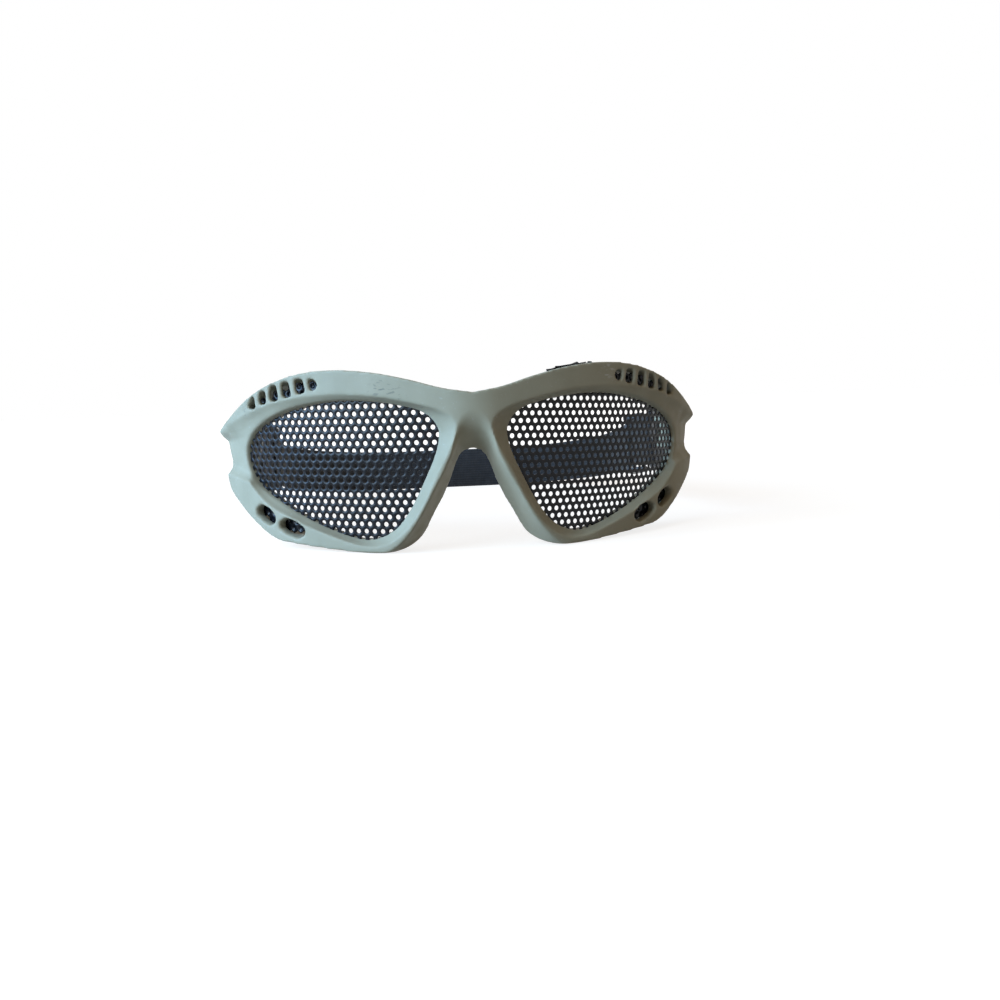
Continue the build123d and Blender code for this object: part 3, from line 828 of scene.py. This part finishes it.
def inside(point, line):
    """Whether a place lies inside a closed line."""
    crossings = 0
    for start, end in zip(line, line[1:] + line[:1]):
        if (start.y > point.y) != (end.y > point.y):
            if point.x < start.x + (point.y - start.y) / (end.y - start.y) * (end.x - start.x):
                crossings += 1
    return crossings % 2 == 1


# the sheet fills the hollow, less a gap, and what lies near the window, where its holes are open
hollow_gap = 0.9
seat_width = 1.6
open_width = 2.2
sheet_line = at_lens(grown(hollow_line, hollow_gap))
seat_line = at_lens(grown(window_line, seat_width))
open_line = at_lens(grown(window_line, open_width))
# where the cut edge stands out above the brow, and the straight cuts along it
stray_line = at_lens([(25, 50), (44, 50), (44, 61), (25, 61)])
stray_foot = 53.0
stray_cuts = [
    ((20, 56.7), (27, 57.2)), ((27, 57.9), (31, 58.1)), ((31, 57.7), (35, 59.0)), ((35, 58.6), (39, 59.2)),
    ((39, 59.4), (42, 59.2)), ((42, 58.8), (48, 58.5)),
]
sheet_rows = range(-24, 12)
sheet_columns = range(-14, 34)
cell_gap = 0.05 * mm


def lens_sheet(name, side, pitch, first_hole, row_fall, column_lean):
    """One lens, laid out flat from one of its holes, then bent round the wrap."""
    sheet = bmesh.new()
    open_cell, painted_shade_cell = [
        lens_cell(pitch, rings, row_fall, column_lean) for rings in (hole_rings, painted_shade_rings)]

    def leaning(along, up):
        return first_hole[0] + along + column_lean * up, first_hole[1] + up + row_fall * along

    for row in sheet_rows:
        for column in sheet_columns:
            along = (column + row % 2 / 2) * pitch
            up = row * row_step
            centre = Vector(leaning(along, up))
            stray = side > 0 and inside(centre, stray_line)
            if not (inside(centre, sheet_line) or inside(centre, seat_line) or stray):
                continue
            count = len(sheet.verts)
            # holes away from the window are closed dimples: painted shade
            sheet.from_mesh(open_cell if inside(centre, open_line) else painted_shade_cell)
            sheet.verts.ensure_lookup_table()
            bmesh.ops.translate(sheet, verts=sheet.verts[count:], vec=(along, 0, up))
    bmesh.ops.remove_doubles(sheet, verts=sheet.verts, dist=cell_gap)
    for vert in sheet.verts:
        vert.co.x, vert.co.z = leaning(vert.co.x, vert.co.z)
    behind_front = (lens_depth + sheet_thickness / 5) * mm
    front_edges = [
        edge for edge in sheet.edges
        if edge.is_boundary and all(vert.co.y < behind_front for vert in edge.verts)
    ]
    rim = bmesh.ops.extrude_edge_only(sheet, edges=front_edges)["geom"]
    rim_verts = [part for part in rim if isinstance(part, bmesh.types.BMVert)]
    bmesh.ops.translate(sheet, verts=rim_verts, vec=(0, sheet_thickness * mm, 0))
    bmesh.ops.remove_doubles(sheet, verts=sheet.verts, dist=cell_gap)
    for start, end in stray_cuts if side > 0 else []:
        start, end = [flat_point(x, z, lens_depth) for x, z in (start, end)]
        middles = [(face, face.calc_center_median()) for face in sheet.faces]
        faces = [
            face for face, middle in middles
            if start.x <= middle.x <= end.x and middle.z > stray_foot * mm
        ]
        geometry = list({vert for face in faces for vert in face.verts})
        geometry += list({edge for face in faces for edge in face.edges}) + faces
        bmesh.ops.bisect_plane(
            sheet, geom=geometry, plane_co=start, plane_no=(start.z - end.z, 0, end.x - start.x),
            clear_outer=True,
        )
    bmesh.ops.holes_fill(sheet, edges=[edge for edge in sheet.edges if edge.is_boundary], sides=0)
    for vert in sheet.verts:
        vert.co = wrapped(vert.co)
        vert.co.x *= side
    outward(sheet)
    return new_object(name, sheet)


# black coating: a hard, glossy skin, a little uneven, rubbed through to steel at some rims
coating, tree, shader, place = new_material("lens_coating", (0.004, 0.005, 0.007), 0.3)
rubbed = spread(tree, noise(tree, place, 3.5 * mm), 0.55, 0.75)
flecks = spread(tree, noise(tree, place, 0.35 * mm, 2.0), 0.60, 0.70)
steel = combined(tree, "MULTIPLY", rubbed, flecks)
coating_colour = tinted(tree, steel, (0.004, 0.005, 0.007), (0.03, 0.03, 0.032))
surfaced(
    tree, shader, coating_colour, patches(tree, place, 1.2 * mm, 0.16, 0.28),
    noise(tree, place, 0.3 * mm, 2.0), 0.012 * mm, specular=0.18,
)

# the distance of the holes in a row, a hole's place, the fall of the rows and the lean of the columns
for name, side, pitch, first_hole, row_fall, column_lean in (
    ("left", 1, 2.69 * mm, (26.27 * mm, 38.32 * mm), -0.035, 0.127),
    ("right", -1, 3.02 * mm, (23.13 * mm, 40.04 * mm), 0.0, 0.064),
):
    lens = lens_sheet(name + "_lens_sheet", side, pitch, first_hole, row_fall, column_lean)
    lens.data.materials.append(coating)
    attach(lens, "goggles")
    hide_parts(name + "_lens")

# Studs and caps: moulded black nylon. Each stud is pressed through its lug from the inside, with its
# head against the rubber, and its end is pressed into the cap outside the clip.
strap_slope = radians(9.498)
strap_along = Vector((0, cos(strap_slope), -sin(strap_slope)))
strap_up = Vector((0, sin(strap_slope), cos(strap_slope)))
sharp_edge = radians(38)
joining_distance = 0.001 * mm


def strap_place(across, along, up=0.0):
    """A place of the strap: across from the middle, behind the stud and up, in millimetres."""
    return Vector((across * mm, 0, 0)) + pivot + (strap_along * along + strap_up * up) * mm


def finished(piece, side, material, body, node):
    """Puts a piece of the wearer's left on its side, and gives it its faces, material and body."""
    shape = bmesh.new()
    shape.from_mesh(piece.data)
    bmesh.ops.remove_doubles(shape, verts=shape.verts, dist=joining_distance)
    for vert in shape.verts:
        vert.co.x *= side
    outward(shape)
    shape.to_mesh(piece.data)
    shape.free()
    piece.data.set_sharp_from_angle(angle=sharp_edge)
    piece.data.materials.clear()
    piece.data.materials.append(material)
    if body:
        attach(piece, body)
    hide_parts(node)


def turned(name, outline):
    """A piece turned about the pivot, from its outline in places across and radii in millimetres."""
    shape = bmesh.new()
    line = [shape.verts.new(pivot + Vector((across * mm, 0, radius * mm))) for across, radius in outline]
    edges = [shape.edges.new(pair) for pair in zip(line, line[1:])]
    bmesh.ops.spin(
        shape, geom=line + edges, axis=(1, 0, 0), cent=pivot, angle=2 * pi, steps=48, use_merge=True,
    )
    return new_object(name, shape)


plastic, tree, shader, place = new_material("black_plastic", (0.020, 0.020, 0.021), 0.42)
plastic_colour = tinted(tree, patches(tree, place, 5 * mm), (0.017, 0.017, 0.018), (0.024, 0.024, 0.025))
plastic_scuffs = spread(tree, noise(tree, place, 0.8 * mm, 4.0, (1, 0.25, 2.5)), 0.62, 0.70)
plastic_wear = spread(tree, noise(tree, place, 7 * mm), 0.5, 0.7)
plastic_wear = combined(tree, "MULTIPLY", plastic_scuffs, plastic_wear)
plastic_colour = tinted(tree, plastic_wear, plastic_colour, (0.075, 0.075, 0.074))
surfaced(
    tree, shader, plastic_colour, patches(tree, place, 2.5 * mm, 0.34, 0.50),
    noise(tree, place, 0.16 * mm, 3.0), 0.02 * mm, specular=0.4,
)

stud_outline = [
    (75.45, 0), (75.45, 1.0), (75.3, 1.25), (75.3, 3.2), (75.36, 3.46), (75.52, 3.68), (75.75, 3.79),
    (75.9, 3.8), (76.35, 3.8), (76.5, 3.68), (76.5, 2.0), (82.6, 2.0), (82.78, 1.93), (82.85, 1.75),
    (82.85, 0),
]
cap_outline = [
    (83.1, 0), (83.1, 2.02), (82.0, 2.02), (82.0, 4.24), (82.06, 4.36), (82.2, 4.4), (83.18, 4.4),
    (83.45, 4.35), (83.69, 4.19), (83.85, 3.95), (83.9, 3.68), (83.9, 3.1), (83.84, 2.95), (83.7, 2.85),
    (83.64, 2.6), (83.62, 0),
]
for name, side in sides:
    for part, outline in (("stud", stud_outline), ("stud_cap", cap_outline)):
        piece = turned(name + "_" + part + "_turned", outline)
        finished(piece, side, plastic, "goggles", name + "_" + part)

# Strap clips: moulded black nylon, one at each temple. Each is a plate with an eye that turns on the
# stud, a shoulder, and a slot whose rear bar carries the strap.
clip_half_thickness = 1.0
clip_edge_round = 0.55
clip_middle = 80.75
eye_radius = 6.6
clip_half_width = 13.2
shoulder_round = 1.6
shoulder_start = 13.0
clip_end = 23.6
eye_hole_radius = 2.06
slot_start = 15.6
slot_end = 20.4
slot_half_width = 10.6
slot_round = 0.6


def arc(middle, radius, start, end, steps):
    """Places on an arc, from one angle to another."""
    turns = [start + (end - start) * step / steps for step in range(steps + 1)]
    return [Vector((middle[0] + radius * cos(turn), middle[1] + radius * sin(turn))) for turn in turns]


def circle_points(middle, radius, steps=48):
    return arc(middle, radius, 0, 2 * pi, steps)[:-1]


def hull(points):
    """The line round all of these points."""
    return [points[index] for index in convex_hull_2d(points)]


def plate(name, lines, half_thickness, edge_round):
    """A flat moulding with soft edges: the first line is its outline and the others are holes."""
    curve = bpy.data.curves.new(name, "CURVE")
    curve.dimensions = "2D"
    curve.fill_mode = "BOTH"
    curve.extrude = (half_thickness - edge_round) * mm
    curve.bevel_depth = edge_round * mm
    curve.bevel_resolution = 3
    curve.offset = -edge_round * mm
    for line in lines:
        spline = curve.splines.new("POLY")
        spline.points.add(len(line) - 1)
        spline.use_cyclic_u = True
        for point, corner in zip(spline.points, line):
            point.co = (corner.x * mm, corner.y * mm, 0, 1)
    drawn = placed(name, curve)
    solid = drawn.evaluated_get(bpy.context.evaluated_depsgraph_get())
    mesh = bpy.data.meshes.new_from_object(solid)
    bpy.data.objects.remove(drawn)
    return placed(name, mesh)


def rounded_box(start, end, half_width, radius, steps=6):
    """A rectangle along the strap from start to end, with round corners."""
    corners = [
        (end - radius, half_width - radius, 0), (start + radius, half_width - radius, pi / 2),
        (start + radius, radius - half_width, pi), (end - radius, radius - half_width, 1.5 * pi),
    ]
    return [
        point for along, up, turn in corners
        for point in arc((along, up), radius, turn, turn + pi / 2, steps)
    ]


eye = circle_points((0, 0), eye_radius)
shoulder = rounded_box(shoulder_start, clip_end, clip_half_width, shoulder_round)
rear_start = clip_end - 2 * shoulder_round
front_part = hull(eye + [point for point in shoulder if point.x < rear_start])
rear_part = [point for point in shoulder if point.x >= rear_start]
clip_lines = [
    hull(front_part + rear_part), rounded_box(slot_start, slot_end, slot_half_width, slot_round),
    circle_points((0, 0), eye_hole_radius, 32),
]
collar_outline = [(81.7, 4.9), (81.9, 5.0), (82.0, 5.15), (82.0, 5.75), (81.9, 5.95), (81.7, 6.1)]
for name, side in sides:
    clip = plate(name + "_clip_moulding", clip_lines, clip_half_thickness, clip_edge_round)
    for vert in clip.data.vertices:
        along, up, out = vert.co / mm
        vert.co = strap_place(clip_middle + out, along, up)
    finished(clip, side, plastic, "strap", name + "_strap_clip")
    collar = turned(name + "_clip_collar", collar_outline)
    finished(collar, side, plastic, "strap", name + "_strap_clip")

# Strap: one black woven elastic, 20 mm wide and 1.2 mm thick, round the back from clip to clip. At
# each clip it turns round the rear bar and runs back on its outside.
elastic_half_width = 10.0
elastic_half_thickness = 0.6
elastic_edge = 0.42
turn_radius = 1.9
turn_along = 21.4
corner_radius = 59.4
corner_along = 79.0
leg_across = clip_middle - turn_radius
path_step = 3.0
shortest_step = 0.02
turn_steps = 14
corner_steps = 28
# the free part behind the legs is a little slack
slack = 0.35
slack_along = (62, 82)
ripple_length = 9.0
twist_length = 23.0
twist_height = 7 * mm


def straight(start, end, step):
    count = max(round((Vector(end) - Vector(start)).length / step), 1)
    return [Vector(start).lerp(Vector(end), index / count) for index in range(count + 1)]


def elastic(name, path, waviness):
    """A length of the elastic along a path of places across and behind the stud."""
    steps = zip(path, path[1:])
    path = [path[0]] + [point for before, point in steps if (point - before).length > shortest_step]
    travelled = [0.0]
    for start, end in zip(path, path[1:]):
        travelled.append(travelled[-1] + (end - start).length)
    section = rounded_box(
        -elastic_half_thickness, elastic_half_thickness, elastic_half_width, elastic_edge, steps=3)
    shape = bmesh.new()
    loft(shape, [[(point.x * mm, way * mm, point.y * mm) for point in section] for way in travelled])
    weave = shape.loops.layers.uv.new("weave")
    for face in shape.faces:
        for corner in face.loops:
            corner[weave].uv = (corner.vert.co.y / mm, corner.vert.co.z / mm)
    for vert in shape.verts:
        station = min(range(len(path)), key=lambda number: abs(travelled[number] - vert.co.y / mm))
        ahead = path[min(station + 1, len(path) - 1)] - path[max(station - 1, 0)]
        out = Vector((ahead.y, -ahead.x)).normalized()
        ripple = waviness * share_between(path[station].y, *slack_along)
        ripple *= sin(travelled[station] / ripple_length)
        ripple *= sin(travelled[station] / twist_length + vert.co.z / twist_height)
        place = path[station] + out * (vert.co.x / mm + ripple)
        vert.co = strap_place(place.x, place.y, vert.co.z / mm)
    return new_object(name, shape)


webbing, tree, shader, place = new_material("strap_webbing", (0.017, 0.017, 0.018), 0.8)
weave_uv = node(tree, "UVMap", {}, uv_map="weave")
weave_place = node(tree, "SeparateXYZ", {0: weave_uv.outputs[0]}).outputs


def ribs(tree, value, period):
    """Ridges of this period across a value, from 0 in the grooves to 1 on the ridges."""
    fold = node(tree, "Math", {0: value, 1: period / 2}, operation="PINGPONG")
    return spread(tree, fold.outputs[0], 0.0, period / 3)


column_width = 1.25
pick_width = 0.8
chevron_lean = 0.3
columns = ribs(tree, weave_place["Y"], column_width)
chevron = spread(tree, columns, 0.0, 1.0, 0.0, chevron_lean)
picks = ribs(tree, combined(tree, "ADD", weave_place["X"], chevron), pick_width)
# the threads stand up from the grooves of the weave, which the colour paints darker: painted shade
weave_relief_and_shade = combined(
    tree, "MULTIPLY", spread(tree, columns, 0.0, 1.0, 0.25, 1.0), spread(tree, picks, 0.0, 1.0, 0.35, 1.0))
# the colour runs from dark in the grooves to lighter on the ridges: painted shade in the grooves
webbing_colour = tinted(tree, weave_relief_and_shade, (0.007, 0.007, 0.008), (0.026, 0.026, 0.028))
lint = spread(tree, noise(tree, place, 0.25 * mm, 2.0), 0.66, 0.74)
lint = combined(tree, "MULTIPLY", lint, spread(tree, noise(tree, place, 11 * mm), 0.4, 0.7))
webbing_colour = tinted(tree, lint, webbing_colour, (0.12, 0.12, 0.115))
surfaced(
    tree, shader, webbing_colour, patches(tree, place, 3 * mm, 0.72, 0.9), weave_relief_and_shade, 0.16 * mm,
    specular=0.25, sheen=0.25, sheen_roughness=0.4,
)

half_path = (
    arc((clip_middle, turn_along), turn_radius, 0, -pi, turn_steps)
    + straight((leg_across, turn_along), (leg_across, corner_along), path_step)
    + arc((leg_across - corner_radius, corner_along), corner_radius, 0, pi / 2, corner_steps)
    + straight(
        (leg_across - corner_radius, corner_along + corner_radius), (0, corner_along + corner_radius),
        path_step,
    )
)
band_path = half_path + [Vector((-point.x, point.y)) for point in reversed(half_path[:-1])]
finished(elastic("strap_elastic", band_path, slack), 1, webbing, "strap", "strap_band")

# Strap tails: the two ends of the same elastic. Each runs back outside the leg to the front bar of its
# slider, folds round the bar and is sewn to itself with black thread.
front_bar = Vector((82.05, 41.5))
tail_across = clip_middle + turn_radius
fold_radius = 1.7
sewn_across = tail_across - 1.22
outer_bend = (tail_across + 0.25, 38.5)
inner_bend = (tail_across - 1.35, 38.5)
bend_start = 36.0
fold_start = 41.3
tail_end = 31.4
tail_step = 0.8
sewn_step = 1.2
tail_path = (
    straight((tail_across, turn_along), (tail_across, bend_start), tail_step)
    + smooth_line([(tail_across, bend_start), outer_bend, (front_bar.x + fold_radius, fold_start)], 4)
    + arc(front_bar, fold_radius, 0, pi, turn_steps)
    + smooth_line([(front_bar.x - fold_radius, fold_start), inner_bend, (sewn_across, bend_start)], 4)
    + straight((sewn_across, bend_start), (sewn_across, tail_end), sewn_step)
)
# two seams of stitches across the tail, and one stitch along each edge between them
stitch_half = (0.16, 0.2, 0.85)
stitch_step = 2.1
seams_along = (32.8, 36.2)
seam_reach = 4
thread_coat, tree, shader, place = new_material("stitch_thread", (0.022, 0.022, 0.023), 0.7)
thread_shade = spread(tree, noise(tree, place, 0.5 * mm, 2.0), 0.35, 0.65)
surfaced(
    tree, shader, tinted(tree, thread_shade, (0.015, 0.015, 0.016), (0.032, 0.032, 0.033)),
    patches(tree, place, 1.5 * mm, 0.6, 0.8), noise(tree, place, 0.12 * mm, 2.0, (1, 4, 1)), 0.03 * mm,
    sheen=0.2,
)
stitch_places = [
    (along, stitch_step * count, False)
    for along in seams_along for count in range(-seam_reach, seam_reach + 1)
]
stitch_places += [(sum(seams_along) / 2, stitch_step * count, True) for count in (-seam_reach, seam_reach)]
for name, side in sides:
    tail = elastic(name + "_tail_elastic", tail_path, 0.0)
    finished(tail, side, webbing, None, name + "_strap_tail")
    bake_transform(tail)
    thread = bmesh.new()
    for across in (tail_across + elastic_half_thickness, sewn_across - elastic_half_thickness):
        for along, up, lengthwise in stitch_places:
            thick, short, long = stitch_half
            along_half, up_half = (long, short) if lengthwise else (short, long)
            for vert in bmesh.ops.create_icosphere(thread, subdivisions=1, radius=1.0)["verts"]:
                x, y, z = vert.co
                vert.co = strap_place(across + x * thick, along + y * along_half, up + z * up_half)
    stitches = new_object(name + "_tail_stitches", thread)
    finished(stitches, side, thread_coat, name + "_slider", name + "_strap_tail")

# Sliders: moulded black nylon, one on each leg of the strap. Two side rails hold three bars: the front
# one carries the sewn loop, and the strap runs over the knurled middle one and under the rear one.
slider_bars = [front_bar, Vector((77.0, 47.0)), Vector((80.7, 52.5))]
bar_radius = 0.95
knurl_share = 0.12
rail_radius = 1.6
rail_start = 10.6
rail_width = 2.4
rail_edge_round = 0.45
bar_reach = rail_start + rail_width / 2
rail_line = hull([point for bar in slider_bars for point in circle_points(bar, rail_radius, 36)])
for name, side in sides:
    slider = bmesh.new()
    for middle in (bar_reach, -bar_reach):
        rail = plate(name + "_rail", [rail_line], rail_width / 2, rail_edge_round)
        for vert in rail.data.vertices:
            across, along, up = vert.co / mm
            vert.co = strap_place(across, along, middle + up)
        slider.from_mesh(rail.data)
        bpy.data.objects.remove(rail)
    for bar in slider_bars:
        bar_ring = circle_points(bar, bar_radius, 32)
        if bar is slider_bars[1]:
            bar_ring = [
                point + (bar - point) * (knurl_share if count % 4 > 1 else 0)
                for count, point in enumerate(bar_ring)
            ]
        loft(slider, [
            [strap_place(point.x, point.y, up) for point in bar_ring] for up in (-bar_reach, bar_reach)
        ])
    slider = new_object(name + "_slider_moulding", slider)
    finished(slider, side, plastic, name + "_slider", name + "_strap_slider")

# The hidden CAD pieces carry the same materials as the pieces that stand for them.
cad_materials = {
    "frame": rubber, "left_lens": coating, "right_lens": coating, "strap_band": webbing,
    "left_strap_tail": webbing, "right_strap_tail": webbing,
}
for name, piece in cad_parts.items():
    for slot in piece.material_slots:
        slot.material = cad_materials.get(name, plastic)
